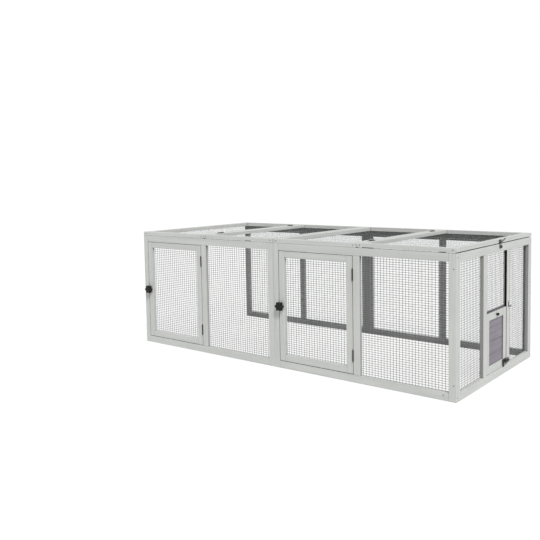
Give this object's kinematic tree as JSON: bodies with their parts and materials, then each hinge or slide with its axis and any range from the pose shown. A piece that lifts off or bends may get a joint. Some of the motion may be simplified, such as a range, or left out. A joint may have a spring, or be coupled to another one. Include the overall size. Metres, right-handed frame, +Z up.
{
  "type": "chicken run",
  "caption": "Long low timber and wire mesh chicken run with hinged front doors, lifting roof lids and a sliding pop door, open at the end that joins a coop.",
  "frame": {"origin": "middle of the outer box, on the ground", "axes": "+X along the run towards the pop door end, +Y from the doors to the back, +Z up"},
  "size_m": [2.4038, 1.122, 0.7951],
  "materials": {
    "painted_wood": "matt pale grey paint on softwood",
    "plank_wood": "matt lavender grey paint on boards",
    "galvanised_wire": "dull galvanised welded wire",
    "black_plastic": "black moulded plastic",
    "black_steel": "black coated steel",
    "screw_steel": "zinc plated screws"
  },
  "bodies": {
    "run_frame": {"front_1_uprights": "painted_wood", "front_1_rails": "painted_wood", "back_1_uprights": "painted_wood", "back_1_rails": "painted_wood", "front_1_mesh": "galvanised_wire", "back_1_mesh": "galvanised_wire", "door_1_post_leaves": "black_steel", "front_2_uprights": "painted_wood", "front_2_rails": "painted_wood", "back_2_uprights": "painted_wood", "back_2_rails": "painted_wood", "front_2_mesh": "galvanised_wire", "back_2_mesh": "galvanised_wire", "door_2_post_leaves": "black_steel", "end_corner_posts": "painted_wood", "end_stiles": "painted_wood", "end_rails": "painted_wood", "pop_door_lintel": "plank_wood", "pop_door_tracks": "black_plastic", "roof_1_frame": "painted_wood", "roof_3_frame": "painted_wood", "end_mesh_front": "galvanised_wire", "end_mesh_middle": "galvanised_wire", "end_mesh_back": "galvanised_wire", "roof_1_mesh": "galvanised_wire", "roof_3_mesh": "galvanised_wire", "frame_screws": "screw_steel", "door_hinge_pins": "black_steel", "lid_2_roof_leaves": "black_steel", "lid_4_roof_leaves": "black_steel", "lid_hinge_pins": "black_steel", "lid_latch_staple": "black_steel", "pop_bolt_keeper": "black_steel", "pop_door_hook": "black_steel"},
    "door_1": {"door_1_stiles": "painted_wood", "door_1_rails": "painted_wood", "door_1_mesh": "galvanised_wire", "door_1_door_leaves": "black_steel"},
    "door_1_latch": {"door_1_knob": "black_plastic", "door_1_latch_bar": "black_steel"},
    "door_2": {"door_2_stiles": "painted_wood", "door_2_rails": "painted_wood", "door_2_mesh": "galvanised_wire", "door_2_door_leaves": "black_steel"},
    "door_2_latch": {"door_2_knob": "black_plastic", "door_2_latch_bar": "black_steel"},
    "lid_2": {"lid_2_frame": "painted_wood", "lid_2_mesh": "galvanised_wire", "lid_2_leaves": "black_steel"},
    "lid_4": {"lid_4_frame": "painted_wood", "lid_4_mesh": "galvanised_wire", "lid_4_leaves": "black_steel", "lid_latch_plate": "black_steel"},
    "lid_latch_strap": {"lid_latch_strap": "black_steel"},
    "lid_latch_button": {"lid_latch_button": "black_steel"},
    "pop_door": {"pop_door_frame": "painted_wood", "pop_door_planks": "plank_wood", "pop_door_knob": "black_plastic", "pop_bolt_base": "black_steel"},
    "pop_bolt": {"pop_bolt_rod": "black_steel"}
  },
  "joints": [
    {"name": "door_1_swing", "type": "hinge", "parent": "run_frame", "child": "door_1", "pos_m": [-0.63339, -0.5342, 0.38], "axis": [0, 0, 1], "range_deg": [0, 170]},
    {"name": "door_1_latch_turn", "type": "hinge", "parent": "door_1", "child": "door_1_latch", "pos_m": [-1.14589, -0.531, 0.38], "axis": [0, 1, 0], "range_deg": [0, 90]},
    {"name": "door_2_swing", "type": "hinge", "parent": "run_frame", "child": "door_2", "pos_m": [0.55361, -0.5342, 0.38], "axis": [0, 0, 1], "range_deg": [0, 170]},
    {"name": "door_2_latch_turn", "type": "hinge", "parent": "door_2", "child": "door_2_latch", "pos_m": [0.04111, -0.531, 0.38], "axis": [0, 1, 0], "range_deg": [0, 90]},
    {"name": "lid_2_lift", "type": "hinge", "parent": "run_frame", "child": "lid_2", "pos_m": [-0.60839, 0.015, 0.788], "axis": [0, -1, 0], "range_deg": [0, 175]},
    {"name": "lid_4_lift", "type": "hinge", "parent": "run_frame", "child": "lid_4", "pos_m": [0.57861, 0.015, 0.788], "axis": [0, -1, 0], "range_deg": [0, 175]},
    {"name": "lid_latch_strap_swing", "type": "hinge", "parent": "lid_4", "child": "lid_latch_strap", "pos_m": [1.17561, 0.044, 0.764], "axis": [0, 1, 0], "range_deg": [-40, 140]},
    {"name": "lid_latch_button_turn", "type": "hinge", "parent": "run_frame", "child": "lid_latch_button", "pos_m": [1.17211, 0.044, 0.744], "axis": [1, 0, 0], "range_deg": [0, 90]},
    {"name": "pop_door_slide", "type": "slide", "parent": "run_frame", "child": "pop_door", "axis": [0, 0, 1], "range_m": [0, 0.3]},
    {"name": "pop_bolt_slide", "type": "slide", "parent": "pop_door", "child": "pop_bolt", "axis": [0, 1, 0], "range_m": [0, 0.022]}
  ]
}
